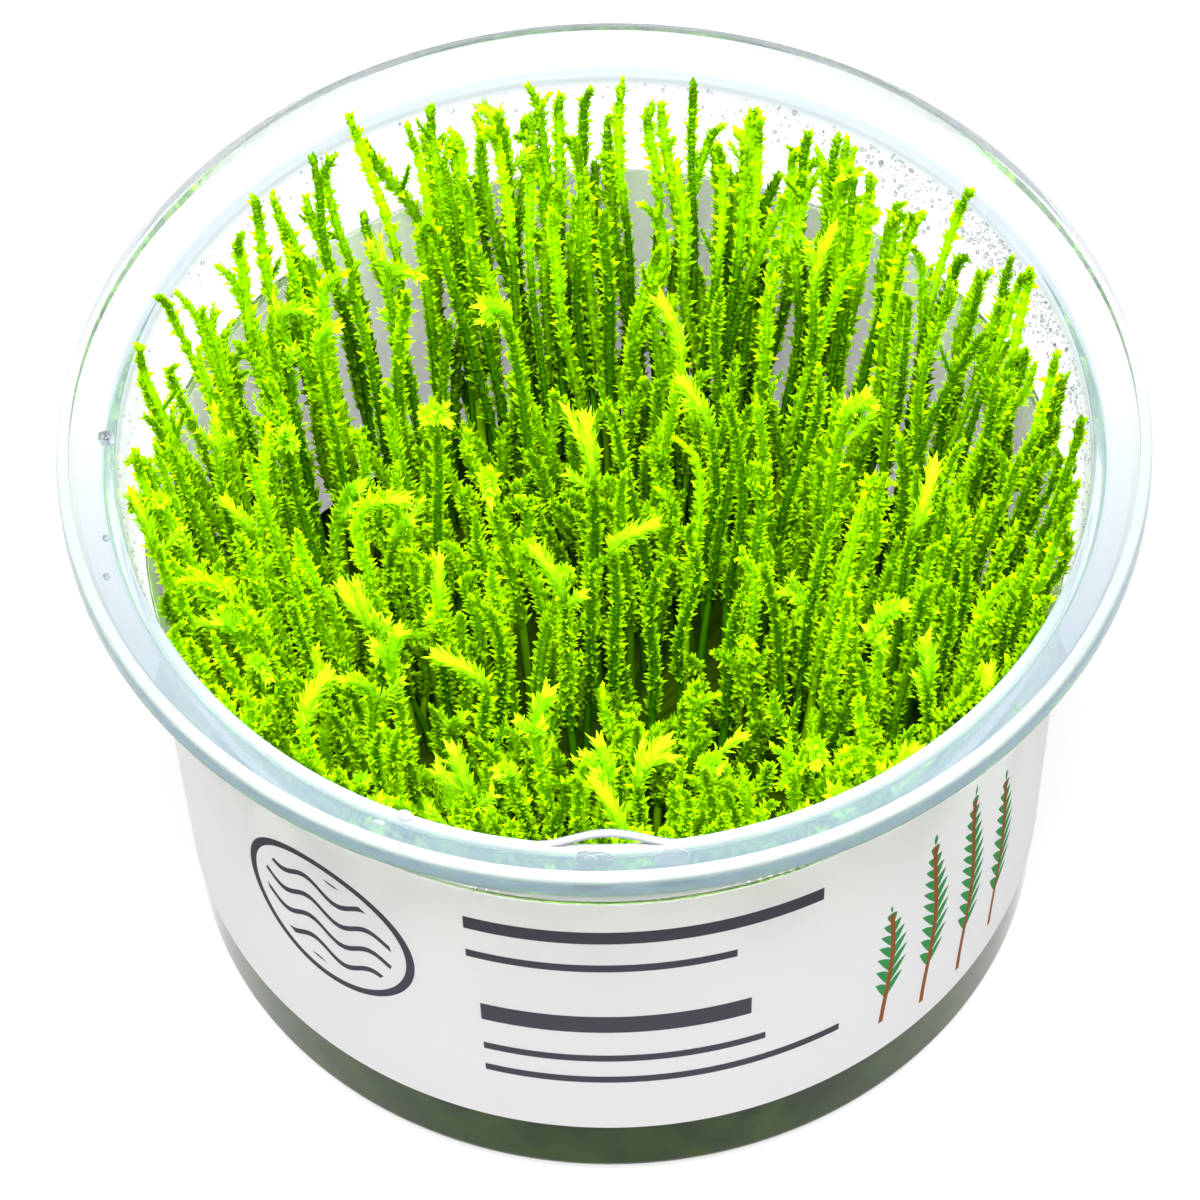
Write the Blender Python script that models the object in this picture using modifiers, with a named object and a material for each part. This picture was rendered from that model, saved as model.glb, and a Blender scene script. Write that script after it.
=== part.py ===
"""Spiky moss grown in a clear tissue culture cup, with its wrap-around label.

A turned, tapered plastic cup with a broad rim holds a layer of nutrient gel. Moss tufts stand side
by side on the gel, splay outwards as they rise and end in pointed shoots, some above the rim.
Sizes are in metres, +Z is up, the origin is the centre of the cup's underside, and -Y is the front.
"""
import math
import random

import bmesh
import bpy
from mathutils import Vector

# Driving dimensions of the cup
RIM_RADIUS = 0.0500
RIM_HEIGHT = 0.0611
LIP_RADIUS = 0.0446
LIP_HEIGHT = 0.0594
BASE_RADIUS = 0.0405
WALL_TAPER = 0.0508
WALL = 0.0009
FLOOR = 0.0010
BASE_CORNER = 0.0016
GAP = 0.0003
TURN_STEPS = 64
ARC_POINTS = 3

# Rim, seen in section from its raised outer bead to the shoulder under it
BEAD_WIDTH = 0.0011
BEAD_SLOPE = 0.0007
BEAD_ROUND = 0.0004
RIM_SKIRT = 0.0024
SHOULDER_HEIGHT = 0.0480
SHOULDER_RISE = 0.0010
SHOULDER_STEP = 0.0010

# Label wrapped round the outside of the wall
LABEL_BOTTOM = 0.0083
LABEL_TOP = 0.0474
LABEL_THICKNESS = 0.0002

# Nutrient gel in the base
GEL_HEIGHT = 0.0120
GEL_MENISCUS = 0.0007
MENISCUS_WIDTH = 0.0018

# Moss tufts: one in the middle, six round it and twelve along the wall
RING_COUNTS = (1, 6, 12)
RING_SPACING = 0.0154
MOSS_FOOT = GEL_HEIGHT + GAP
LOCKS_PER_TUFT = 4
LOCK_RADIUS = 0.0043
LOCK_OFFSET = 0.0032
LOCK_LEAN = 0.0016
LOCK_BOW = 0.0006
LOCK_PROFILE = ((0.0, 1.0), (0.40, 0.92), (0.70, 0.66), (0.89, 0.38), (1.0, 0.05))
WELD_DISTANCE = 0.000001
SHARP_ANGLE = 50
MOSS_SPLAY = 0.22
SPLAY_POWER = 1.2
WALL_ROOM = 0.0005
PRESSED_SHARE = 0.90
MOSS_SEED = 23

# Height of the moss over the table: its middle, its rise towards the back and towards the sides
CROWN_MIDDLE = 0.0530
CROWN_BACK_RISE = 0.0040
CROWN_SIDE_RISE = 0.0035
TIP_SPREAD = 0.0040
TALL_CROWN = 0.0550
TALL_TIP_EXTRA = 0.0062
MOSS_TOP = 0.0660
CROWN_REACH = 0.0360


def clear_scene():
    """Remove every object, so that the part is all there is."""
    for thing in list(bpy.data.objects):
        bpy.data.objects.remove(thing, do_unlink=True)


def new_collection(name):
    """Add an empty collection to the scene."""
    collection = bpy.data.collections.new(name)
    bpy.context.scene.collection.children.link(collection)
    return collection


def new_material(name, colour, roughness, transmission=0.0):
    """A Principled material in one colour."""
    material = bpy.data.materials.new(name)
    material.use_nodes = True
    shader = material.node_tree.nodes["Principled BSDF"]
    shader.inputs["Base Color"].default_value = (*colour, 1.0)
    shader.inputs["Roughness"].default_value = roughness
    shader.inputs["Metallic"].default_value = 0.0
    shader.inputs["Transmission Weight"].default_value = transmission
    material.diffuse_color = (*colour, 1.0)
    return material


def arc(centre_radius, centre_height, radius, start, end):
    """Points of a rounded corner, from one angle to another, in degrees from the outward direction."""
    points = []
    for index in range(ARC_POINTS):
        angle = math.radians(start + (end - start) * index / (ARC_POINTS - 1))
        points.append((centre_radius + radius * math.cos(angle), centre_height + radius * math.sin(angle)))
    return points


def wall_radius(height):
    """Outer radius of the plain tapered wall at a height."""
    return BASE_RADIUS + WALL_TAPER * height


def inner_radius(height):
    """Inner radius of the cup at a height, with the wider part between the shoulder and the lip."""
    if height < SHOULDER_HEIGHT:
        return wall_radius(height) - WALL
    above = wall_radius(SHOULDER_HEIGHT) + SHOULDER_STEP - WALL
    share = min(1.0, (height - SHOULDER_HEIGHT) / (LIP_HEIGHT - SHOULDER_HEIGHT))
    return above + (LIP_RADIUS - above) * share


def turned(name, outline, material, collection):
    """Turn a closed outline of (radius, height) points about the upright axis."""
    mesh = bpy.data.meshes.new(name)
    count = len(outline)
    on_axis = outline[0][0] == 0.0 and outline[-1][0] == 0.0
    edges = [(index, index + 1) for index in range(count - 1)]
    if not on_axis:
        edges.append((count - 1, 0))
    mesh.from_pydata([(radius, 0.0, height) for radius, height in outline], edges, [])
    thing = bpy.data.objects.new(name, mesh)
    collection.objects.link(thing)
    thing.data.materials.append(material)
    screw = thing.modifiers.new("turn", "SCREW")
    screw.axis = "Z"
    screw.angle = math.tau
    screw.steps = TURN_STEPS
    screw.render_steps = TURN_STEPS
    screw.use_merge_vertices = True
    screw.merge_threshold = 0.00001
    screw.use_smooth_shade = True
    return thing


def cup_outline():
    """Section of the cup: up the inside, over the rim and down its outer side to the base."""
    shoulder_top = SHOULDER_HEIGHT + SHOULDER_RISE
    shoulder_radius = wall_radius(shoulder_top) + SHOULDER_STEP
    web_underside = LIP_HEIGHT - WALL
    bead_inside = RIM_RADIUS - BEAD_WIDTH - BEAD_SLOPE
    inside = [
        (0.0, FLOOR),
        (wall_radius(FLOOR) - WALL - BASE_CORNER, FLOOR),
        (wall_radius(FLOOR + BASE_CORNER) - WALL, FLOOR + BASE_CORNER),
        (wall_radius(SHOULDER_HEIGHT) - WALL, SHOULDER_HEIGHT),
        (shoulder_radius - WALL, shoulder_top),
        (LIP_RADIUS, LIP_HEIGHT - WALL),
    ]
    rim = [
        (LIP_RADIUS + BEAD_ROUND, LIP_HEIGHT),
        (bead_inside, LIP_HEIGHT),
        (RIM_RADIUS - BEAD_WIDTH, RIM_HEIGHT),
    ]
    rim += arc(RIM_RADIUS - BEAD_ROUND, RIM_HEIGHT - BEAD_ROUND, BEAD_ROUND, 90, 0)
    rim += [
        (RIM_RADIUS, RIM_HEIGHT - RIM_SKIRT),
        (RIM_RADIUS - WALL, RIM_HEIGHT - RIM_SKIRT),
        (bead_inside, web_underside),
        (LIP_RADIUS + WALL + BEAD_ROUND, web_underside),
    ]
    outside = [
        (LIP_RADIUS + WALL, web_underside - BEAD_ROUND),
        (shoulder_radius, shoulder_top),
        (wall_radius(SHOULDER_HEIGHT), SHOULDER_HEIGHT),
        (wall_radius(BASE_CORNER), BASE_CORNER),
    ]
    base = arc(wall_radius(BASE_CORNER) - BASE_CORNER, BASE_CORNER, BASE_CORNER, 0, -90)[1:]
    return inside + rim + outside + base + [(0.0, 0.0)]


def label_outline():
    """Section of the label: a thin strip that follows the wall's taper."""
    inner_bottom = wall_radius(LABEL_BOTTOM) + GAP
    inner_top = wall_radius(LABEL_TOP) + GAP
    return [
        (inner_top, LABEL_TOP),
        (inner_top + LABEL_THICKNESS, LABEL_TOP),
        (inner_bottom + LABEL_THICKNESS, LABEL_BOTTOM),
        (inner_bottom, LABEL_BOTTOM),
    ]


def gel_outline():
    """Section of the gel: level, with its edge drawn up a little where it meets the wall."""
    edge_height = GEL_HEIGHT + GEL_MENISCUS
    foot = FLOOR + GAP
    side = WALL + GAP
    return [
        (0.0, GEL_HEIGHT),
        (wall_radius(edge_height) - side - MENISCUS_WIDTH, GEL_HEIGHT),
        (wall_radius(edge_height) - side - MENISCUS_WIDTH / 3, GEL_HEIGHT + GEL_MENISCUS / 3),
        (wall_radius(edge_height) - side, edge_height),
        (wall_radius(foot + BASE_CORNER) - side, foot + BASE_CORNER),
        (wall_radius(foot) - side - BASE_CORNER, foot),
        (0.0, foot),
    ]


def crown_height(place):
    """Height of the moss over a place on the gel: higher along the back and the sides."""
    across = place.x / CROWN_REACH
    back = place.y / CROWN_REACH
    return CROWN_MIDDLE + CROWN_BACK_RISE * back + CROWN_SIDE_RISE * across * across


def pressed(reach, limit):
    """A distance from the middle, eased off as it nears the wall, which it never passes."""
    free = PRESSED_SHARE * limit
    if reach <= free:
        return reach
    room = limit - free
    return free + room * (1.0 - math.exp((free - reach) / room))


def splayed(point):
    """Move a point of upright moss outwards, further the higher it is, off the wall and the gel."""
    height = max(point.z, MOSS_FOOT)
    rise = (height - MOSS_FOOT) / (RIM_HEIGHT - MOSS_FOOT)
    reach = math.hypot(point.x, point.y)
    if reach == 0.0:
        return Vector((0.0, 0.0, height))
    spread = reach * (1.0 + MOSS_SPLAY * rise ** SPLAY_POWER)
    scale = pressed(spread, inner_radius(height) - WALL_ROOM) / reach
    return Vector((point.x * scale, point.y * scale, height))


def tuft_places():
    """Centres of the tufts on the gel, ring by ring."""
    places = []
    for ring, count in enumerate(RING_COUNTS):
        for index in range(count):
            angle = math.tau * (index + 0.5 * (ring % 2)) / count
            reach = ring * RING_SPACING
            places.append(Vector((reach * math.cos(angle), reach * math.sin(angle), 0.0)))
    return places


def lock_path(foot, tip, chance):
    """Points of one lock from its foot to its tip, bowed a little, with the radius at each."""
    bow = Vector((chance.uniform(-1, 1), chance.uniform(-1, 1), 0.0)) * LOCK_BOW
    path = []
    for share, width in LOCK_PROFILE:
        point = foot.lerp(tip, share) + bow * math.sin(math.pi * share)
        path.append((point, LOCK_RADIUS * width))
    return path


def lock(name, path, collection):
    """One lock of shoots, a closed tapering tube along its path."""
    curve = bpy.data.curves.new(name, "CURVE")
    curve.dimensions = "3D"
    curve.bevel_depth = 1.0
    curve.bevel_resolution = 1
    curve.use_fill_caps = True
    spline = curve.splines.new("POLY")
    spline.points.add(len(path) - 1)
    for point, (place, radius) in zip(spline.points, path):
        point.co = (*place, 1.0)
        point.radius = radius
    tube = bpy.data.objects.new(name + "_tube", curve)
    collection.objects.link(tube)
    mesh = evaluated_mesh(tube)
    bpy.data.objects.remove(tube, do_unlink=True)
    shape = bmesh.new()
    shape.from_mesh(mesh)
    bmesh.ops.remove_doubles(shape, verts=shape.verts, dist=WELD_DISTANCE)
    bmesh.ops.recalc_face_normals(shape, faces=shape.faces)
    shape.to_mesh(mesh)
    shape.free()
    thing = bpy.data.objects.new(name, mesh)
    collection.objects.link(thing)
    thing.hide_render = True
    thing.display_type = "WIRE"
    return thing


def evaluated_mesh(thing):
    """The mesh of an object with its modifiers or its bevel worked out."""
    depsgraph = bpy.context.evaluated_depsgraph_get()
    return bpy.data.meshes.new_from_object(thing.evaluated_get(depsgraph))


def tip_heights(place, chance):
    """Heights of a tuft's lock tips, spread about the crown, with a tall one at the back and sides."""
    crown = crown_height(place)
    heights = []
    for index in range(LOCKS_PER_TUFT):
        share = index / (LOCKS_PER_TUFT - 1) - 0.5
        heights.append(crown + TIP_SPREAD * share)
    if crown > TALL_CROWN:
        heights[-1] += TALL_TIP_EXTRA
    chance.shuffle(heights)
    return [min(height, MOSS_TOP) for height in heights]


def tuft_paths(place, chance):
    """Paths of the locks of one tuft, standing in a ring about its centre and leaning a little out."""
    turn = chance.uniform(0.0, math.tau)
    paths = []
    for index, height in enumerate(tip_heights(place, chance)):
        angle = turn + math.tau * index / LOCKS_PER_TUFT
        outward = Vector((math.cos(angle), math.sin(angle), 0.0))
        foot = place + outward * LOCK_OFFSET + Vector((0.0, 0.0, MOSS_FOOT))
        tip = place + outward * (LOCK_OFFSET + LOCK_LEAN)
        tip.z = height
        paths.append(lock_path(foot, tip, chance))
    return paths


def moss_tuft(number, place, chance, material, moss, helpers):
    """One tuft: its locks fused where they touch, then splayed with the rest of the moss."""
    name = f"moss_tuft_{number:02d}"
    locks = []
    for index, path in enumerate(tuft_paths(place, chance)):
        locks.append(lock(f"lock_{number:02d}_{index}", path, helpers))
    for other in locks[1:]:
        fuse = locks[0].modifiers.new("fuse", "BOOLEAN")
        fuse.operation = "UNION"
        fuse.solver = "EXACT"
        fuse.object = other
    fused = evaluated_mesh(locks[0])
    for thing in locks:
        bpy.data.objects.remove(thing, do_unlink=True)
    for vertex in fused.vertices:
        vertex.co = splayed(vertex.co)
    tuft = bpy.data.objects.new(name, fused)
    moss.objects.link(tuft)
    fused.materials.clear()
    fused.materials.append(material)
    fused.shade_smooth()
    fused.set_sharp_from_angle(angle=math.radians(SHARP_ANGLE))
    return tuft


def build():
    """Make the cup, its label, the gel and the moss."""
    clear_scene()
    part = new_collection("spiky_moss_cup")
    helpers = new_collection("cutters")
    clear_plastic = new_material("clear plastic", (0.86, 0.89, 0.90), 0.12, transmission=0.9)
    label_film = new_material("label film", (0.80, 0.80, 0.81), 0.45)
    gel_green = new_material("nutrient gel", (0.13, 0.20, 0.04), 0.30)
    moss_green = new_material("moss", (0.16, 0.42, 0.01), 0.60)
    turned("cup", cup_outline(), clear_plastic, part)
    turned("label", label_outline(), label_film, part)
    turned("gel", gel_outline(), gel_green, part)
    chance = random.Random(MOSS_SEED)
    for number, place in enumerate(tuft_places(), start=1):
        moss_tuft(number, place, chance, moss_green, part, helpers)
    bpy.data.collections.remove(helpers)


build()
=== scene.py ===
"""Dresses a cup of tissue culture moss: clear cup, label, gel, leafy shoots and a studio round them.

The file is laid out as an add-on and is run as a script. Everything is in metres, +Z is up, the
origin is the centre of the cup's underside, and -Y is the front.
"""
import math

import bmesh
import bpy
import numpy as np
from mathutils import Matrix, Vector


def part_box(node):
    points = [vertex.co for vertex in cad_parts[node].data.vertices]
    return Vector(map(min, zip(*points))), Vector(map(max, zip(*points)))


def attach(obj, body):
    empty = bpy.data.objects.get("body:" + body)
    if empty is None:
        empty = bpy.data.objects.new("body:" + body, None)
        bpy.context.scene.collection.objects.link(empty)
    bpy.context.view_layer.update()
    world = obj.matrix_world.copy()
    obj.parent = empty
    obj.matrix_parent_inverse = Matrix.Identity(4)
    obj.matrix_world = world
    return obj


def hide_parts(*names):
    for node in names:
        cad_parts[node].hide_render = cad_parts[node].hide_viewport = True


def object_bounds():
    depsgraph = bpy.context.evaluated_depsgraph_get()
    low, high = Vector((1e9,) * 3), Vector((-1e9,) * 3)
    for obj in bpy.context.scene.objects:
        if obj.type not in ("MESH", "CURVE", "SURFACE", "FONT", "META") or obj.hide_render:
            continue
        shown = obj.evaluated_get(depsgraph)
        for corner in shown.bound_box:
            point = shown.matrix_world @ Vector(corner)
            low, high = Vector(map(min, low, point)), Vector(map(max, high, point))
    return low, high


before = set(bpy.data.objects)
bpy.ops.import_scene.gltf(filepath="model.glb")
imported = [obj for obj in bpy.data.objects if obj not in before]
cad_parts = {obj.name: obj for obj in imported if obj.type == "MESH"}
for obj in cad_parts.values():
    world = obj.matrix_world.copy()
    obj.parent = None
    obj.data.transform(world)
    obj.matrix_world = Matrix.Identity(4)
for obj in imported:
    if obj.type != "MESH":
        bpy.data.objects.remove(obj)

bl_info = {
    "name": "Moss Culture Cup",
    "version": (1, 0, 0),
    "blender": (4, 5, 0),
    "location": "3D View > Sidebar > Moss Cup",
    "description": "Dresses a cup of tissue culture moss with its plastic, label, gel and shoots",
    "category": "Object",
}

CAD_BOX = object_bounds()
CUP_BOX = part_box("cup")
LABEL_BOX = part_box("label")
GEL_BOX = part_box("gel")
MM = 0.001

# Section of the cup
RIM_RADIUS = CUP_BOX[1].x
RIM_HEIGHT = CUP_BOX[1].z
LIP_RADIUS = 0.0446
LIP_HEIGHT = 0.0594
BASE_RADIUS = 0.0405
WALL_TAPER = 0.0508
WALL = 0.0009
FLOOR = 0.0010
BASE_CORNER = 0.0016
BEAD_WIDTH = 0.0011
BEAD_SLOPE = 0.0007
BEAD_ROUND = 0.0004
BEAD_INSIDE = RIM_RADIUS - BEAD_WIDTH - BEAD_SLOPE
RIM_SKIRT = 0.0024
SHOULDER_HEIGHT = 0.0480
SHOULDER_RISE = 0.0010
SHOULDER_STEP = 0.0010

# Haze of the plastic: how deep it lies, how softly it ends, and how much of it the sides keep; towards the
# front it gets more haze and white, a painted reflection
RIM_HAZE_DEPTH = 0.0012
RIM_HAZE_BLUR = 0.0010
LIP_BAND = 0.0013
BEAD_CREST = 0.0006
HAZE_BLUR = 0.0008
MIST_HEIGHT = 0.0540
MIST_BLUR = 0.0030
MIST_EDGE = 0.0004
SHEEN_FRONT_START = 0.35
SHEEN_FRONT_BLUR = 0.90
SIDE_HAZE = 0.17
SIDE_PALE = 0.20

# Label and gel against the wall
LABEL_THICKNESS = 0.00025
CONTACT = 0.00005
GEL_SKIN = 0.0003

# Places of the moss tufts on the gel, ring by ring, as the solids have them
RING_COUNTS = (1, 6, 12)
RING_SPACING = 0.0154
MOSS_FOOT = 0.0123
MOSS_SPLAY = 0.27
SPLAY_POWER = 1.2
PRESSED_SHARE = 0.94

# Moss shoots: the crown over them, and how their lines and leaflets are laid out
CROWN_REACH = 0.0360
CROWN_MIDDLE = 0.0545
CROWN_BACK_RISE = 0.0055
CROWN_SIDE_RISE = 0.0040
SHOOT_ROOM = 0.0006
TIP_ROOM = 0.0009
SHOOT_RINGS = 18
TWIG_RINGS = 6
STEM_SIDES = 4
GOLDEN_TURN = 2.39996
# Painted shade at each leaflet's base and a painted highlight at its tip: tone offsets for base, two sides
# and tip
LEAFLET_SHADE_AND_HIGHLIGHT = (-0.55, -0.05, -0.05, 0.70)
SHOOT_STYLE = {
    "start": 0.34, "crowding": 1.15, "closing": 0.90, "spread": 0.52, "fold": 0.28,
    "length": 0.00097, "width": 0.00053, "young_from": 0.87, "beads": 0.20, "bead_count": 27,
}
TWIG_STYLE = {
    "start": 0.05, "crowding": 1.1, "closing": 0.5, "spread": 0.55, "fold": 0.28,
    "length": 0.00085, "width": 0.00040, "young_from": 0.0, "beads": 0.0, "bead_count": 1,
}

# Painted light and shade on the shoots, spots where they are painted paler or darker: the gain, the x and y
# of the spot, and its width and depth
PAINTED_LIGHT_SPOTS = (
    (0.34, -0.028, -0.006, 0.013, 0.026),
    (0.26, 0.023, -0.004, 0.009, 0.024),
    (-0.30, 0.038, 0.0, 0.009, 0.026),
)
# Painted backlight: shoots along the back are painted paler, from this depth on, with this blur and gain
BACK_START = 0.016
BACK_BLUR = 0.010
PAINTED_BACKLIGHT_GAIN = 0.24

# Tips that stand out in the photograph, in millimetres: tall ones against the wall, and young lime ones
TALL_TIPS = (
    (2.8, 41.4, 63.0), (9.6, 40.2, 62.0), (6.4, 40.3, 61.0), (-2.0, 36.6, 59.0), (-6.6, 34.7, 59.0),
    (-9.3, 37.8, 62.0), (-15.4, 38.1, 62.0), (-18.3, 35.1, 62.0), (-21.9, 36.0, 63.5), (-24.8, 34.3, 62.0),
    (-26.7, 32.9, 62.0), (-32.2, 28.4, 63.5), (-35.5, 24.1, 63.0), (-40.5, 16.0, 63.5), (-44.2, 9.4, 63.8),
    (-43.5, -0.7, 60.0), (15.6, 35.6, 62.0), (18.1, 34.0, 62.0), (11.6, 34.3, 60.0), (13.2, 33.7, 60.0),
    (20.3, 30.5, 60.0), (25.1, 27.2, 62.0), (27.4, 27.8, 63.8), (29.6, 24.3, 63.0), (31.0, 23.9, 62.0),
    (34.3, 25.3, 63.0), (39.1, 17.0, 63.0), (41.1, 15.8, 63.8), (41.8, 6.5, 63.0), (43.3, -2.2, 62.0),
    (43.0, -9.3, 60.0),
)
YOUNG_TIPS = (
    (-9.5, 4.7, 55.0), (-2.2, 4.4, 55.0), (0.3, -5.4, 54.0), (-4.3, -9.1, 54.0), (-23.4, 0.1, 55.0),
    (10.9, 9.8, 55.5), (23.8, 8.5, 57.0), (-6.5, -24.5, 52.0), (-1.2, -29.8, 51.0), (18.2, -26.8, 53.0),
    (22.0, -32.0, 53.0), (26.0, -31.0, 54.5), (-21.3, -17.6, 54.0), (-11.8, -19.0, 52.5),
    (-29.0, -24.0, 54.0),
    (-8.2, 22.7, 56.0), (-27.9, 16.9, 58.0), (6.5, 17.5, 56.0), (-17.7, 9.5, 56.0), (30.5, -5.8, 57.0),
    (26.4, -15.2, 56.0), (-13.4, -31.6, 51.5), (-8.4, -28.7, 51.0), (2.3, -30.2, 51.0), (9.6, -28.2, 51.5),
)

# The camera, fitted to the rim, the label's edges and the base in the photograph
CAMERA_TARGET = Vector((0.0, 0.0, 0.030))
CAMERA_DISTANCE = 0.700
CAMERA_ELEVATION = 52.8
CAMERA_ROLL = -1.75
CAMERA_LENS = 222.1
CAMERA_ASIDE = (-0.00091, 0.00348)


class Field:
    """A value over a surface: a shader socket that takes part in arithmetic."""

    def __init__(self, finish, socket):
        self.finish = finish
        self.socket = socket

    def maths(self, operation, *values, clamp=False):
        """A Math node on these values."""
        settings = {"operation": operation, "use_clamp": clamp}
        node = self.finish.node("ShaderNodeMath", settings, dict(enumerate(values)))
        return Field(self.finish, node.outputs[0])

    def __add__(self, other):
        return self.maths("ADD", self, other)

    __radd__ = __add__

    def __sub__(self, other):
        return self.maths("SUBTRACT", self, other)

    def __rsub__(self, other):
        return self.maths("SUBTRACT", other, self)

    def __mul__(self, other):
        return self.maths("MULTIPLY", self, other)

    __rmul__ = __mul__

    def __truediv__(self, other):
        return self.maths("DIVIDE", self, other)

    def __rtruediv__(self, other):
        return self.maths("DIVIDE", other, self)

    def __pow__(self, other):
        return self.maths("POWER", self, other)

    def __abs__(self):
        return self.maths("ABSOLUTE", self)

    def __floordiv__(self, other):
        return self.maths("FLOOR", self / other)

    def __mod__(self, other):
        return self.maths("FLOORED_MODULO", self, other)

    def sine(self):
        """The sine of a value in radians."""
        return self.maths("SINE", self)

    def least(self, other):
        """The smaller of two values."""
        return self.maths("MINIMUM", self, other)

    def most(self, other):
        """The larger of two values."""
        return self.maths("MAXIMUM", self, other)

    def above(self, edge, soft):
        """1 where the value is over an edge, 0 under it, with a soft step between them."""
        return self.maths("ADD", (self - edge) / soft, 0.5, clamp=True)

    def below(self, edge, soft):
        """1 where the value is under an edge, 0 over it."""
        return 1 - self.above(edge, soft)

    def within(self, middle, reach):
        """1 where the value is no further than a reach from a middle, 0 elsewhere."""
        return self.maths("COMPARE", self, middle, reach)


class Finish:
    """The node tree of one material."""

    def __init__(self, name):
        self.material = bpy.data.materials.new(name)
        self.material.use_nodes = True
        self.tree = self.material.node_tree
        self.tree.nodes.clear()

    def node(self, kind, settings, values):
        """Add a node: its settings are set first, then its sockets get values or links."""
        node = self.tree.nodes.new(kind)
        for key, value in settings.items():
            setattr(node, key, value)
        for key, value in values.items():
            if isinstance(value, Field):
                self.tree.links.new(value.socket, node.inputs[key])
            else:
                node.inputs[key].default_value = value
        return node

    def field(self, kind, settings, values, output=0):
        """One output of a new node, ready for arithmetic."""
        return Field(self, self.node(kind, settings, values).outputs[output])

    def place(self):
        """The three coordinates of a point, in metres."""
        where = self.field("ShaderNodeTexCoord", {}, {}, "Object")
        parts = self.node("ShaderNodeSeparateXYZ", {}, {"Vector": where})
        return [Field(self, socket) for socket in parts.outputs]

    def noise(self, vector, scale, detail=2.0, roughness=0.5):
        """A cloudy value from 0 to 1. Scale is in lumps per metre."""
        values = {"Vector": vector, "Scale": scale, "Detail": detail, "Roughness": roughness}
        return self.field("ShaderNodeTexNoise", {}, values, "Fac")

    def vector(self, x, y, z):
        """A vector from three values."""
        return self.field("ShaderNodeCombineXYZ", {}, {"X": x, "Y": y, "Z": z})

    def blend(self, share, first, second):
        """A colour between two colours."""
        values = {0: share, 6: first, 7: second}
        return self.field("ShaderNodeMix", {"data_type": "RGBA"}, values, 2)

    def attribute(self, name):
        """A value that a mesh carries at its points."""
        return self.field("ShaderNodeAttribute", {"attribute_name": name}, {}, "Fac")

    def principled(self, values):
        """A Principled shader."""
        return self.field("ShaderNodeBsdfPrincipled", {}, values)

    def mixed(self, share, first, second):
        """A mix of two shaders."""
        return self.field("ShaderNodeMixShader", {}, {0: share, 1: first, 2: second})

    def done(self, shader):
        """Send a shader to the material's output and hand the material over."""
        self.node("ShaderNodeOutputMaterial", {}, {"Surface": shader})
        return self.material


def colour(rgb):
    """A colour property as the four numbers that a socket takes."""
    return (rgb[0], rgb[1], rgb[2], 1.0)


def milky_plastic(finish, settings, haze, pale):
    """Clear glossy plastic, and the same with a share of milky plastic in it, whiter where it is pale."""
    clear = finish.principled({
        "Base Color": colour(settings.plastic_colour),
        "Roughness": 0.0,
        "IOR": settings.plastic_ior,
        "Specular Tint": (0.0, 0.0, 0.0, 1.0),
        "Transmission Weight": 1.0,
    })
    body = finish.principled({
        "Base Color": finish.blend(pale, colour(settings.milk_colour), colour(settings.pale_colour)),
        "Roughness": 0.25,
        "IOR": settings.plastic_ior,
    })
    glow = finish.field("ShaderNodeBsdfTranslucent", {}, {"Color": colour(settings.milk_colour)})
    milky = finish.mixed(0.50 - 0.25 * pale, body, glow)
    return clear, finish.mixed(haze, clear, milky)


def plastic_finish(settings):
    """Clear polypropylene: misty under the lip, milky in the rim, and white on its lip and bead, with more
    milk and white towards the front as a painted reflection.
    """
    finish = Finish("clear_polypropylene")
    x, y, z = finish.place()
    radius = (x ** 2 + y ** 2) ** 0.5
    rim = z.above(LIP_HEIGHT - RIM_HAZE_DEPTH, RIM_HAZE_BLUR)
    lip = rim * radius.below(LIP_RADIUS + LIP_BAND, HAZE_BLUR)
    edge = z.above(RIM_HEIGHT - BEAD_CREST, BEAD_CREST) * radius.above(BEAD_INSIDE, HAZE_BLUR)
    mist = z.above(MIST_HEIGHT, MIST_BLUR) * radius.below(LIP_RADIUS + WALL / 2, MIST_EDGE) * (1 - rim)
    # Towards the front the rim is painted milkier and whiter: painted reflection
    front = (0 - y / RIM_RADIUS).above(SHEEN_FRONT_START, SHEEN_FRONT_BLUR)
    haze = settings.rim_haze * (SIDE_HAZE + (1 - SIDE_HAZE) * front) * rim + mist * settings.mist_haze
    haze = haze + lip * settings.lip_haze + edge * settings.edge_haze * front
    pale = lip.most(edge) * (SIDE_PALE + (1 - SIDE_PALE) * front)
    clear, milky = milky_plastic(finish, settings, haze, pale)
    hazy = z.above(MIST_HEIGHT - MIST_BLUR / 2 - MM / 10, MM / 10)
    return finish.done(finish.mixed(hazy, clear, milky))


def flaw_finish(settings):
    """The same plastic in its moulding flaws, which are milky by the amount that their points carry."""
    finish = Finish("milky_polypropylene")
    clear, milky = milky_plastic(finish, settings, finish.attribute("milk"), finish.attribute("pale"))
    return finish.done(milky)


def water_finish():
    """Clean water drops."""
    finish = Finish("condensed_water")
    drop = finish.principled({
        "Base Color": (0.70, 0.71, 0.73, 1.0),
        "Roughness": 0.0,
        "IOR": 1.33,
        "Transmission Weight": 1.0,
    })
    return finish.done(drop)


def frond_print(aside, up, height):
    """Masks of one printed frond: its slanting leaflets and its stalk, in millimetres from its foot."""
    off = abs(aside - (up * FROND_BEND).sine() * FROND_SWAY)
    foot = up - off * FROND_SLANT
    share = foot / height
    reach = FROND_WIDTH * (1 - share) * (0.3 + share * 1.6).most(0.0) ** 0.6
    thickness = FROND_PITCH * 0.46 * (1 - (off / reach.most(0.05)) ** 2)
    leafy = (foot % FROND_PITCH).within(FROND_PITCH / 2, thickness) * share.within(0.5, 0.5)
    stalk = off.within(0.0, STALK_HALF_WIDTH) * (up / height).within(0.325, 0.575)
    return leafy, stalk


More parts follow.
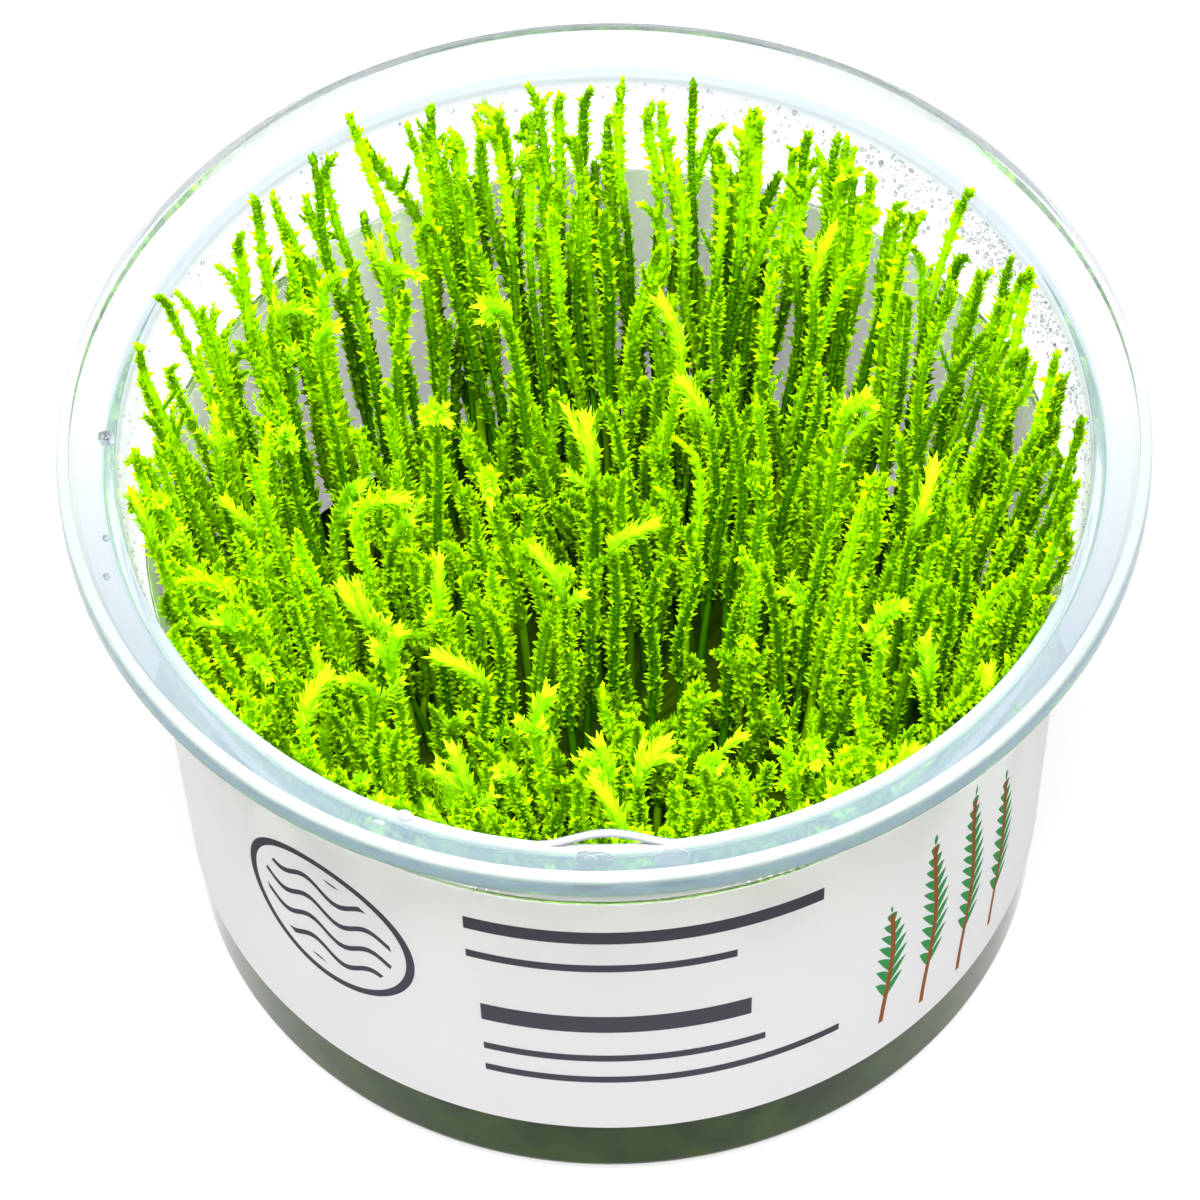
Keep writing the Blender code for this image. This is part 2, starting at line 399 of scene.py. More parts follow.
def label_finish(settings):
    """Satin white film with a plain print of rules, a ring of waves and a row of fronds.

    Light is scattered once on its way through: at the outer face. Half of it passes the inner face as it is;
    the other half meets a pale green tint there, painted light from the moss.
    """
    finish = Finish("printed_label_film")
    x, y, z = finish.place()
    radius = LABEL_BOX[1].x / MM
    across = finish.field("ShaderNodeMath", {"operation": "ARCTAN2"}, {0: x, 1: 0 - y}) * radius
    up = (z - LABEL_BOX[0].z) / MM
    face = (x ** 2 + y ** 2) ** 0.5 - z * WALL_TAPER - BASE_RADIUS + CONTACT
    outer = face.above(LABEL_THICKNESS / 2, LABEL_THICKNESS / 4)

    ring_across = across - RING_ACROSS
    ring_up = up - RING_UP
    away = (ring_across ** 2 + ring_up ** 2) ** 0.5
    wave = (ring_across * WAVE_BEND).sine() * WAVE_SWAY
    waves = ((ring_up + wave) % WAVE_PITCH).within(WAVE_PITCH / 2, WAVE_LINE)
    waves = waves * away.within(0.0, RING_RADIUS - RING_MARGIN)
    ink = away.within(RING_RADIUS, RING_LINE).most(waves)
    for start, end, middle, thickness in LABEL_RULES:
        rule = across.within((start + end) / 2, (end - start) / 2) * up.within(middle, thickness / 2)
        ink = ink.most(rule)
    printed = finish.blend(ink, colour(settings.film_colour), colour(settings.ink_colour))

    turn = (across - FROND_START) / FROND_SPACING + 0.5
    number = turn // 1
    height = FROND_HEIGHT - FROND_FALL * (number - FROND_TALLEST) ** 2
    leafy, stalk = frond_print((turn % 1 - 0.5) * FROND_SPACING, up - FROND_FOOT, height)
    row = number.within((FROND_COUNT - 1) / 2, FROND_COUNT / 2)
    printed = finish.blend(leafy * row, printed, colour(settings.frond_colour))
    printed = finish.blend(stalk * row, printed, (0.16, 0.055, 0.022, 1.0))
    ink = ink.most(leafy.most(stalk) * row)

    front = finish.principled({
        "Base Color": printed,
        "Roughness": 0.44,
        "Specular IOR Level": 0.0,
    })
    through = finish.field("ShaderNodeBsdfTranslucent", {}, {"Color": (0.97, 0.85, 0.97, 1.0)})
    outside = finish.mixed(settings.film_glow * (1 - ink), front, through)
    # The inner face is painted pale green: painted light thrown back from the moss
    painted_moss_bounce = finish.principled({
        "Base Color": (0.74, 1.0, 0.52, 1.0),
        "Roughness": 0.45,
        "Specular IOR Level": 0.0,
    })
    clear = finish.principled({
        "Base Color": (1.0, 1.0, 1.0, 1.0),
        "Roughness": 0.0,
        "IOR": 1.0,
        "Transmission Weight": 1.0,
    })
    inside = finish.mixed(0.5, painted_moss_bounce, clear)
    return finish.done(finish.mixed(outer, inside, outside))


# Print on the label, in millimetres along it from the front's middle and up from its bottom edge:
# each rule's start, end, middle height and thickness
LABEL_RULES = (
    (-14.5, 19.5, 33.6, 2.0),
    (-14.5, 11.0, 28.4, 1.2),
    (-13.5, 12.5, 18.6, 2.8),
    (-13.5, 14.0, 12.6, 1.1),
    (-13.5, 22.0, 8.8, 1.1),
)
RING_ACROSS = -30.0
RING_UP = 23.0
RING_RADIUS = 9.6
RING_MARGIN = 1.9
WAVE_PITCH = 3.4
WAVE_BEND = 0.9
WAVE_SWAY = 0.9
WAVE_LINE = 0.42
RING_LINE = 0.45
FROND_COUNT = 4
FROND_START = 27.5
FROND_SPACING = 5.6
FROND_HEIGHT = 25.0
FROND_FALL = 2.8
FROND_TALLEST = 1.8
FROND_FOOT = 9.0
FROND_WIDTH = 3.1
FROND_PITCH = 2.1
FROND_BEND = 0.21
FROND_SWAY = 0.5
FROND_SLANT = 1.3
STALK_HALF_WIDTH = 0.28


def gel_finish(settings):
    """Cloudy olive gel with streaks of paler green."""
    finish = Finish("nutrient_gel")
    x, y, z = finish.place()
    around = finish.field("ShaderNodeMath", {"operation": "ARCTAN2"}, {0: x, 1: 0 - y})
    streaks = finish.noise(finish.vector(around * 6, z * 120, x * 20), 1.6, 2.0, 0.6)
    specks = finish.noise(finish.vector(x, y, z), 900.0, 2.0)
    olive = finish.blend(streaks.above(0.52, 0.35), colour(settings.gel_colour), colour(settings.gel_streak))
    olive = finish.blend(specks.above(0.66, 0.15) * 0.4, olive, (0.02, 0.03, 0.005, 1.0))
    shader = finish.principled({
        "Base Color": olive,
        "Roughness": 0.22 + specks * 0.15,
        "Specular IOR Level": 0.0,
    })
    return finish.done(shader)


def moss_finish(settings):
    """Leaflets: deep green low down as painted shade, mid green above, paler where painted light and painted
    highlights lift the level, and lime at young tips, which let light through.
    """
    finish = Finish("moss_leaflets")
    level = finish.attribute("level")
    youth = finish.attribute("youth")
    leaf = finish.blend(level.least(1.0), colour(settings.deep_colour), colour(settings.mid_colour))
    leaf = finish.blend((level - 1).most(0.0), leaf, colour(settings.pale_and_highlight_colour))
    leaf = finish.blend(youth, leaf, colour(settings.young_colour))
    front = finish.principled({
        "Base Color": leaf,
        "Roughness": 0.6,
        "Specular IOR Level": 0.0,
    })
    through = finish.field("ShaderNodeBsdfTranslucent", {}, {"Color": colour(settings.glow_colour)})
    return finish.done(finish.mixed(settings.leaf_glow * finish.attribute("clarity"), front, through))


def floor_finish():
    """Plain pale studio floor."""
    finish = Finish("studio_floor")
    where = finish.field("ShaderNodeTexCoord", {}, {}, "Object")
    grain = finish.noise(where, 300.0, 2.0)
    shader = finish.principled({
        "Base Color": finish.blend(grain, (0.09, 0.09, 0.09, 1.0), (0.11, 0.11, 0.11, 1.0)),
        "Roughness": 0.9,
        "Specular IOR Level": 0.0,
        "Emission Color": (1.0, 1.0, 1.0, 1.0),
        "Emission Strength": 0.75,
    })
    return finish.done(shader)


def wall_radius(height):
    """Outer radius of the plain tapered wall at a height."""
    return BASE_RADIUS + WALL_TAPER * height


def inner_radius(height):
    """Inner radius of the cup at each height of an array."""
    above = wall_radius(SHOULDER_HEIGHT) + SHOULDER_STEP - WALL
    share = np.clip((height - SHOULDER_HEIGHT) / (LIP_HEIGHT - SHOULDER_HEIGHT), 0, 1)
    upper = above + (LIP_RADIUS - above) * share
    return np.where(height < SHOULDER_HEIGHT, wall_radius(height) - WALL, upper)


def arc(centre_radius, centre_height, radius, start, end, steps=6):
    """Points of a rounded corner, from one angle to another, in degrees from the outward direction."""
    angles = [math.radians(start + (end - start) * index / steps) for index in range(steps + 1)]
    return [(centre_radius + radius * math.cos(a), centre_height + radius * math.sin(a)) for a in angles]


def turned(name, outline, steps):
    """Turn an outline of (radius, height) points about the upright axis into a smooth closed mesh."""
    shape = bmesh.new()
    points = [shape.verts.new((radius, 0.0, height)) for radius, height in outline]
    edges = [shape.edges.new(pair) for pair in zip(points, points[1:])]
    if outline[0][0] > 0.0:
        edges.append(shape.edges.new((points[-1], points[0])))
    bmesh.ops.spin(shape, geom=points + edges, cent=(0, 0, 0), axis=(0, 0, 1), angle=math.tau, steps=steps)
    bmesh.ops.remove_doubles(shape, verts=shape.verts, dist=0.000002)
    bmesh.ops.recalc_face_normals(shape, faces=shape.faces)
    mesh = bpy.data.meshes.new(name)
    shape.to_mesh(mesh)
    shape.free()
    mesh.shade_smooth()
    mesh.set_sharp_from_angle(angle=math.radians(40))
    thing = bpy.data.objects.new(name, mesh)
    bpy.context.scene.collection.objects.link(thing)
    return thing


def cup_outline():
    """Section of the cup: up the inside, over the lip and the rim, and down its outer side."""
    shoulder_top = SHOULDER_HEIGHT + SHOULDER_RISE
    shoulder_radius = wall_radius(shoulder_top) + SHOULDER_STEP
    web_underside = LIP_HEIGHT - WALL
    floor_edge = wall_radius(FLOOR + BASE_CORNER) - WALL
    inside = [(0.0, FLOOR)]
    inside += arc(floor_edge - BASE_CORNER, FLOOR + BASE_CORNER, BASE_CORNER, -90, 0)
    inside += [
        (wall_radius(SHOULDER_HEIGHT) - WALL, SHOULDER_HEIGHT),
        (shoulder_radius - WALL, shoulder_top),
        (LIP_RADIUS, LIP_HEIGHT - BEAD_ROUND),
    ]
    rim = arc(LIP_RADIUS + BEAD_ROUND, LIP_HEIGHT - BEAD_ROUND, BEAD_ROUND, 180, 90)
    rim += [
        (BEAD_INSIDE, LIP_HEIGHT),
        (RIM_RADIUS - BEAD_WIDTH, RIM_HEIGHT),
    ]
    rim += arc(RIM_RADIUS - BEAD_ROUND, RIM_HEIGHT - BEAD_ROUND, BEAD_ROUND, 90, 0)
    rim += [
        (RIM_RADIUS, RIM_HEIGHT - RIM_SKIRT),
        (RIM_RADIUS - WALL, RIM_HEIGHT - RIM_SKIRT),
        (BEAD_INSIDE, web_underside),
        (LIP_RADIUS + WALL + BEAD_ROUND, web_underside),
    ]
    outside = [
        (LIP_RADIUS + WALL, web_underside - BEAD_ROUND),
        (shoulder_radius, shoulder_top),
        (wall_radius(SHOULDER_HEIGHT), SHOULDER_HEIGHT),
        (wall_radius(BASE_CORNER), BASE_CORNER),
    ]
    base = arc(wall_radius(BASE_CORNER) - BASE_CORNER, BASE_CORNER, BASE_CORNER, 0, -90)[1:]
    return inside + rim + outside + base + [(0.0, 0.0)]


def finished(thing, material, slot, *nodes):
    """Give a piece its material, let it ride on the body and stand for its nodes. The slot is not used."""
    thing.data.materials.append(material)
    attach(thing, "root")
    if nodes:
        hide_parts(*nodes)
    return thing


def place_on_gel():
    """Centres of the tufts on the gel, ring by ring, as an array of x and y."""
    places = []
    for ring, count in enumerate(RING_COUNTS):
        for index in range(count):
            angle = math.tau * (index + 0.5 * (ring % 2)) / count
            places.append((ring * RING_SPACING * math.cos(angle), ring * RING_SPACING * math.sin(angle)))
    return np.array(places)


def splay_at(height):
    """How many times further from the middle a shoot is at a height than at its foot."""
    rise = (np.maximum(height, MOSS_FOOT) - MOSS_FOOT) / (RIM_HEIGHT - MOSS_FOOT)
    return 1.0 + MOSS_SPLAY * rise ** SPLAY_POWER


def splayed(points):
    """Move points of upright moss outwards, further the higher they are, and off the wall."""
    height = np.maximum(points[..., 2], MOSS_FOOT)
    reach = np.maximum(np.hypot(points[..., 0], points[..., 1]), 1e-6)
    spread = reach * splay_at(height)
    limit = inner_radius(height) - SHOOT_ROOM
    free = PRESSED_SHARE * limit
    eased = free + (limit - free) * (1.0 - np.exp(-np.maximum(spread - free, 0) / (limit - free)))
    scale = np.where(spread > free, eased, spread) / reach
    return np.stack([points[..., 0] * scale, points[..., 1] * scale, height], axis=-1)


def grid_feet(settings, chance):
    """Feet of the shoots: a jittered triangular grid over the gel, drawn together in clumps, as x and y."""
    spacing = settings.shoot_spacing
    count = int(settings.bed_radius / spacing) + 2
    rows, columns = np.meshgrid(np.arange(-count, count + 1), np.arange(-count, count + 1), indexing="ij")
    x = (columns + 0.5 * (rows % 2)) * spacing
    y = rows * spacing * math.sqrt(3) / 2
    feet = np.stack([x.ravel(), y.ravel()], axis=-1)
    feet += chance.uniform(-0.42, 0.42, feet.shape) * spacing
    reach = np.hypot(feet[:, 0], feet[:, 1]) / settings.bed_radius
    feet = feet[reach < 1] / reach[reach < 1, None] ** settings.crowding
    hearts = feet[chance.random(len(feet)) < settings.clump_share]
    heart = hearts[np.argmin(np.linalg.norm(feet[:, None] - hearts[None], axis=-1), axis=1)]
    return feet + (heart - feet) * settings.clumping


def crown_height(feet):
    """Height that the tallest shoots over each foot reach: more along the back and the sides."""
    across = feet[:, 0] / CROWN_REACH
    back = feet[:, 1] / CROWN_REACH
    return CROWN_MIDDLE + CROWN_BACK_RISE * back + CROWN_SIDE_RISE * across ** 2


def feet_under(tips):
    """Feet of shoots whose tips are given."""
    return tips[:, :2] / splay_at(tips[:, 2])[:, None]


def tuft_tops():
    """Height of each tuft's solid, which its shoots stay under."""
    count = sum(RING_COUNTS)
    return np.array([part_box(f"moss_tuft_{index + 1:02d}")[1].z for index in range(count)]) - TIP_ROOM


def near(feet, x, y, width, depth):
    """1 for feet at a place, fading to 0 away from it, all in metres."""
    return np.exp(-(((feet[:, 0] - x) / width) ** 2) - ((feet[:, 1] - y) / depth) ** 2)


def sunlit(feet):
    """How much paler the shoots over each foot are painted, as painted light and shade: in the spots, and
    along the backlit back.
    """
    back = np.clip((feet[:, 1] - BACK_START) / BACK_BLUR, 0, 1)
    return sum(gain * near(feet, *spot) for gain, *spot in PAINTED_LIGHT_SPOTS) + PAINTED_BACKLIGHT_GAIN * back


def tall_chance(feet, settings):
    """Chance that a shoot ends close under the crown: high at the wall, across the middle and in front."""
    reach = np.hypot(feet[:, 0], feet[:, 1])
    wall = np.clip((reach - 0.025) / 0.005, 0, 1) * (0.6 + 0.4 * np.clip((feet[:, 1] + 0.020) / 0.012, 0, 1))
    middle = near(feet, 0.0, -0.004, 0.030, 0.008)
    front = np.clip((-0.022 - feet[:, 1]) / 0.006, 0, 1)
    return np.minimum(settings.tall_share + 0.85 * wall + 0.40 * middle + 0.38 * front, 0.92)


def young_chance(feet, settings):
    """Chance of a lime tip over each foot: highest at the left and along the front."""
    left = near(feet, -0.022, -0.010, 0.014, 0.018)
    front = near(feet, 0.0, -0.036, 0.030, 0.012)
    return settings.young_share * (0.35 + 2.4 * left + 2.8 * front)


def sown(settings, chance):
    """Every shoot: its foot, height, lean, hook, colouring and build, and the tuft that it belongs to."""
    tall = np.array(TALL_TIPS) * MM
    young = np.array(YOUNG_TIPS) * MM
    chosen = np.concatenate([feet_under(tall), feet_under(young)])
    feet = grid_feet(settings, chance)
    clear = np.linalg.norm(feet[:, None] - chosen[None], axis=-1).min(axis=1) > settings.shoot_spacing * 0.55
    feet = feet[clear]
    loose = len(feet)
    high = chance.random(loose) < tall_chance(feet, settings)
    depth = np.where(high, 0.4 * chance.beta(1, 1.5, loose), 0.55 + 0.65 * chance.beta(1.2, 1.2, loose))
    heights = np.concatenate([crown_height(feet) - settings.height_range * depth, tall[:, 2], young[:, 2]])
    feet = np.concatenate([feet, chosen])
    count = len(feet)
    order = np.arange(count)
    is_young = order >= loose + len(tall)
    is_tall = (order >= loose) & ~is_young
    tuft = np.argmin(np.linalg.norm(feet[:, None] - place_on_gel()[None], axis=-1), axis=1)
    lucky = (chance.random(count) < young_chance(feet, settings)) & (order < loose)
    youth = np.where(is_young, 1.0, lucky * chance.uniform(0.35, 1.0, count))
    hooks = chance.uniform(0.1, 0.9, count) + (chance.random(count) < 0.25) * chance.uniform(0.5, 1.3, count)
    hooks = np.where(youth > 0.3, chance.uniform(0.3, 1.5, count), hooks) * np.where(is_tall, 0.6, 1.0)
    rope = np.clip((feet[:, 1] - 0.016) / 0.012, 0, 1) * chance.uniform(0.2, 0.8, count)
    lean = np.where(order < loose, 1.0, 0.25)
    return {
        "feet": feet,
        "heights": np.minimum(heights, tuft_tops()[tuft]),
        "leans": chance.normal(0, 1, (count, 2)) * settings.lean * lean[:, None],
        "hooks": hooks,
        "hook_lengths": np.where(youth > 0.3, 0.0055, 0.0030) * chance.uniform(0.7, 1.3, count),
        # A random tone for each shoot, plus painted light and shade from sunlit()
        "tone": np.clip(chance.normal(0.38, 0.28, count) + sunlit(feet), 0, 1),
        "youth": youth,
        "thick": chance.uniform(0.85, 1.18, count) * np.where(is_tall, 0.62, 1.0),
        "rope": np.where(is_tall, 1.0, rope),
        "tuft": tuft,
        "rise": np.zeros(count),
    }


def unit(vectors):
    """Vectors scaled to a length of one."""
    return vectors / np.maximum(np.linalg.norm(vectors, axis=-1, keepdims=True), 1e-12)


def shoot_shares(rings):
    """Shares of a shoot's height at its rings, closer together towards the tip."""
    return 1.0 - (1.0 - np.linspace(0, 1, rings)) ** 1.5


def shoot_lines(shoots, chance):
    """Centre lines of upright shoots, wavy and hooked at the tip, as an array of shoots by rings by 3."""
    feet, heights, leans = shoots["feet"], shoots["heights"], shoots["leans"]
    count = len(feet)
    shares = shoot_shares(SHOOT_RINGS)
    line = np.zeros((count, SHOOT_RINGS, 3))
    phase = chance.uniform(0, math.tau, (count, 2, 1))
    waves = chance.uniform(0.6, 1.9, (count, 2, 1))
    swing = chance.uniform(0.2, 1.0, (count, 2, 1)) * MM
    wave = swing * np.sin(phase + waves * math.tau * shares) * shares
    stray = leans[:, None, :] * shares[None, :, None] ** 1.4
    line[..., :2] = feet[:, None, :] + stray + np.swapaxes(wave, 1, 2)
    line[..., 2] = MOSS_FOOT + (heights[:, None] - MOSS_FOOT) * shares
    return hooked(splayed(line), shoots["hooks"], shoots["hook_lengths"], chance)


def hooked(line, hooks, lengths, chance):
    """Bend the last stretch of each line over, each by its own angle and to its own side."""
    count = len(line)
    side = chance.uniform(0, math.tau, count)
    aside = np.stack([np.cos(side), np.sin(side), np.zeros(count)], axis=-1)
    steps = np.diff(line, axis=1)
    spans = np.linalg.norm(steps, axis=-1)
    from_tip = np.cumsum(spans[:, ::-1], axis=1)[:, ::-1] - spans / 2
    bend = hooks[:, None] * np.clip(1 - from_tip / lengths[:, None], 0, 1) ** 0.8
    bent = unit(steps) * np.cos(bend)[..., None] + aside[:, None, :] * np.sin(bend)[..., None]
    moved = line.copy()
    moved[:, 1:] = line[:, :1] + np.cumsum(unit(bent) * spans[..., None], axis=1)
    return moved


def frames_along(line):
    """Direction and two crossing directions at each ring of each line, without twist."""
    ahead = unit(np.gradient(line, axis=1))
    first = np.zeros_like(ahead)
    first[:, 0] = unit(np.cross(ahead[:, 0], np.array([0.3, 1.0, 0.2])))
    for ring in range(1, line.shape[1]):
        carried = first[:, ring - 1]
        along = np.sum(carried * ahead[:, ring], axis=-1, keepdims=True)
        first[:, ring] = unit(carried - along * ahead[:, ring])
    return ahead, first, np.cross(ahead, first)


def tube_mesh(line, radii):
    """Points and triangles of thin tubes along lines."""
    count, rings = line.shape[:2]
    ahead, first, second = frames_along(line)
    angles = np.arange(STEM_SIDES) * math.tau / STEM_SIDES
    ring = first[:, :, None] * np.cos(angles)[:, None] + second[:, :, None] * np.sin(angles)[:, None]
    points = line[:, :, None] + ring * radii[:, :, None, None]
    index = np.arange(count * rings * STEM_SIDES).reshape(count, rings, STEM_SIDES)
    low, high = index[:, :-1], index[:, 1:]
    low_next, high_next = np.roll(low, -1, axis=2), np.roll(high, -1, axis=2)
    faces = np.concatenate([
        np.stack([low, low_next, high], axis=-1).reshape(-1, 3),
        np.stack([low_next, high_next, high], axis=-1).reshape(-1, 3),
    ])
    return points.reshape(-1, 3), faces


def leaf_shares(leaves, style):
    """Shares of the line at which its leaflets stand, closer together towards the tip."""
    even = (np.arange(leaves) + 0.5) / leaves
    return style["start"] + (1 - style["start"]) * (1 - (1 - even) ** style["crowding"])


def leaflet_mesh(line, radii, shares, leaves, young, style, traits, chance):
    """Points and triangles of folded, pointed leaflets set in a spiral round each line."""
    count = len(line)
    ahead, first, second = frames_along(line)
    along = leaf_shares(leaves, style)
    ring = np.clip(np.searchsorted(shares, along) - 1, 0, len(shares) - 2)
    part = ((along - shares[ring]) / (shares[ring + 1] - shares[ring]))[None, :, None]

    def between(values):
        """Values at the rings, read at the leaflets."""
        return values[:, ring] * (1 - part) + values[:, ring + 1] * part

    heart = between(line)
    forward = unit(between(ahead))
    across = unit(between(first))
    beside = np.cross(forward, across)
    turn = np.arange(leaves) * GOLDEN_TURN + chance.uniform(-0.5, 0.5, (count, leaves))
    turn = turn + chance.uniform(0, math.tau, (count, 1))
    out = across * np.cos(turn)[..., None] + beside * np.sin(turn)[..., None]
    side = np.cross(forward, out)

    rope = traits["rope"][:, None]
    closing = np.clip((along - style["closing"]) / (1 - style["closing"]), 0, 1)[None, :]
    teeth = (chance.random((count, leaves)) < 0.05) * (0.55 * rope + 0.35 * young)
    closed = 0.6 * closing ** 1.5 * (1 - young)
    lean = style["spread"] * (1 - 0.15 * rope) * (1 - 0.42 * young) * (1 - closed)
    lean = lean + teeth + chance.uniform(-0.2, 0.2, (count, leaves)) * (1 - 0.5 * young)
    axis = forward * np.cos(lean)[..., None] + out * np.sin(lean)[..., None]
    face = out * np.cos(lean)[..., None] - forward * np.sin(lean)[..., None]

    phase = chance.uniform(0, math.tau, (count, 1))
    beads = 1 + style["beads"] * (1 + rope) * np.sin(along * math.tau * style["bead_count"] + phase)
    size = beads * chance.uniform(0.68, 1.25, (count, leaves)) * traits["thick"][:, None] ** 0.3
    size = size * (1 - 0.40 * closing * (1 - rope) * (1 - young))
    length = (style["length"] * size * (1 - 0.15 * rope) * (1 + 0.95 * young))[..., None]
    width = (style["width"] * (0.5 + 0.5 * size) * (1 + 0.5 * rope + 0.25 * young))[..., None]
    base = heart + out * between(radii[..., None]) * 0.8
    curl = chance.uniform(-0.08, 0.40, (count, leaves, 1)) * (1 - 0.7 * young[..., None])
    tip = base + length * (axis + face * curl)
    middle = base + length * axis * 0.38 + face * width * 0.10
    left = middle + side * width * 0.5 - face * width * style["fold"]
    right = middle - side * width * 0.5 - face * width * style["fold"]
    points = np.stack([base, left, right, tip], axis=2)
    index = np.arange(count * leaves).reshape(-1, 1) * 4
    faces = np.concatenate([index + np.array([[0, 2, 3]]), index + np.array([[0, 3, 1]])])
    return points.reshape(-1, 3), faces


def mesh_piece(name, points, faces, values):
    """A mesh object from arrays, with one value at each point for each named attribute."""
    mesh = bpy.data.meshes.new(name)
    mesh.vertices.add(len(points))
    mesh.vertices.foreach_set("co", points.astype(np.float32).ravel())
    mesh.loops.add(len(faces) * 3)
    mesh.loops.foreach_set("vertex_index", faces.astype(np.int32).ravel())
    mesh.polygons.add(len(faces))
    mesh.polygons.foreach_set("loop_start", np.arange(len(faces), dtype=np.int32) * 3)
    mesh.update(calc_edges=True)
    for key, value in values.items():
        layer = mesh.attributes.new(key, "FLOAT", "POINT")
        layer.data.foreach_set("value", np.broadcast_to(value, len(points)).astype(np.float32))
    thing = bpy.data.objects.new(name, mesh)
    bpy.context.scene.collection.objects.link(thing)
    return thing


class Bundle:
    """Meshes gathered for one piece, with the named values that their points carry."""

    def __init__(self, *names):
        self.points = []
        self.faces = []
        self.values = {name: [] for name in names}
        self.count = 0

    def add(self, points, faces, **values):
        """Add points and faces, with one value of each name for all points or for each."""
        self.points.append(points)
        self.faces.append(faces + self.count)
        self.count += len(points)
        for key, value in values.items():
            self.values[key].append(np.broadcast_to(value, len(points)))

    def piece(self, name):
        """All that was added, as one object."""
        values = {key: np.concatenate(value) for key, value in self.values.items()}
        return mesh_piece(name, np.concatenate(self.points), np.concatenate(self.faces), values)


def ripened(youth, along, style):
    """How young each place along each line is: only the last stretch of a young shoot is."""
    share = np.clip((along[None, :] - style["young_from"]) / (1 - style["young_from"]), 0, 1)
    return youth[:, None] * share ** 0.45


def stem_radii(traits, shares, style, settings):
    """Radius of each stem at each ring: tapering, but stout in ropes and in young tips."""
    rope = traits["rope"][:, None]
    taper = (1 - 0.55 * shares[None, :]) * (1 - rope) + 1.1 * rope
    plump = 0.45 * ripened(traits["youth"], shares, style)
    point = 1 - 0.6 * np.clip((shares[None, :] - 0.96) / 0.04, 0, 1)
    return settings.stem_radius * traits["thick"][:, None] * (taper + plump) * point


def toned(traits, risen):
    """Tone along each line: a rope is painted darker low down and paler above, for light shining through it
    above the label, and dark at its head as painted shade; heads of other shoots that are not young get a
    lighter painted shade.
    """
    rope = traits["rope"][:, None]
    pale = np.clip((risen - 0.70) / 0.05, 0, 1) * 0.75 - 0.35
    painted_head_shade = np.clip((risen - 0.92) / 0.05, 0, 1) * (1 - traits["youth"][:, None])
    return traits["tone"][:, None] + rope * pale - (0.25 + 0.75 * rope) * painted_head_shade


def looks(tone, risen, youth, points_each, offsets=0.0):
    """Values that colour each point: how pale it is, how much light it lets through and how young it is."""
    upper = 0.5 + np.clip((risen - 0.60) / 0.50, -0.5, 0.5)
    tone = np.clip(tone[..., None] + np.broadcast_to(offsets, points_each), 0, 1)
    return {
        # The level is painted darker low down and paler high up: painted shade in the depth of the moss
        "level": (tone * (0.90 + 1.10 * upper[..., None])).ravel(),
        "clarity": np.repeat(upper.ravel(), points_each),
        "youth": np.repeat(youth.ravel(), points_each),
    }


def add_shoots(bundle, line, radii, shares, leaves, style, traits, chance):
    """Add stems and leaflets along lines, with the values that colour them."""
    count = len(line)
    youth, rise = traits["youth"], traits["rise"]
    points, faces = tube_mesh(line, radii)
    risen = rise[:, None] + (1 - rise[:, None]) * shares[None, :]
    ripe = ripened(youth, shares, style)
    tone = toned(traits, risen) - 0.45
    bundle.add(points, faces, **looks(tone, risen, ripe, STEM_SIDES))
    along = leaf_shares(leaves, style)
    young = ripened(youth, along, style)
    points, faces = leaflet_mesh(line, radii, shares, leaves, young, style, traits, chance)
    risen = rise[:, None] + (1 - rise[:, None]) * along[None, :]
    tone = toned(traits, risen) + chance.uniform(-0.42, 0.42, (count, leaves))
    # Leaflets get painted shade at their bases and painted highlights at their tips
    bundle.add(points, faces, **looks(tone, risen, young, 4, LEAFLET_SHADE_AND_HIGHLIGHT))


def side_shoots(line, traits, chance):
    """Short side shoots on the upper part of some lines, more of them on young ones."""
    ahead, first, second = frames_along(line)
    young = traits["youth"] > 0.3
    usual = np.where(young, 1.7, 0.5)
    owners = np.repeat(np.arange(len(line)), chance.poisson(usual))
    ring = chance.integers(SHOOT_RINGS // 2 + 2, SHOOT_RINGS - 3, len(owners))
    angle = chance.uniform(0, math.tau, len(owners))
    out = first[owners, ring] * np.cos(angle)[:, None] + second[owners, ring] * np.sin(angle)[:, None]
    forward = ahead[owners, ring]
    length = chance.uniform(1.2, 4.2, len(owners)) * MM
    lean = chance.uniform(0.5, 1.0, len(owners))
    steps = np.linspace(0, 1, TWIG_RINGS)[None, :, None]
    start = forward * np.cos(lean)[:, None] + out * np.sin(lean)[:, None]
    way = start[:, None] * steps + np.array([0.0, 0.0, 0.35]) * steps ** 2
    twigs = line[owners, ring][:, None] + way * length[:, None, None]
    return twigs, {
        "tone": traits["tone"][owners],
        "youth": traits["youth"][owners],
        "thick": np.full(len(owners), 0.9),
        "rope": np.zeros(len(owners)),
        "rise": shoot_shares(SHOOT_RINGS)[ring],
    }


def kept_inside(line, top):
    """Keep lines under a height, and off the cup's wall while they are below its rim."""
    line[..., 2] = np.minimum(line[..., 2], top)
    reach = np.maximum(np.hypot(line[..., 0], line[..., 1]), 1e-6)
    wall = inner_radius(line[..., 2]) - SHOOT_ROOM * 0.8
    limit = np.where(line[..., 2] < RIM_HEIGHT, wall, RIM_RADIUS * 0.93)
    scale = np.minimum(1.0, limit / reach)
    line[..., 0] *= scale
    line[..., 1] *= scale
    return line


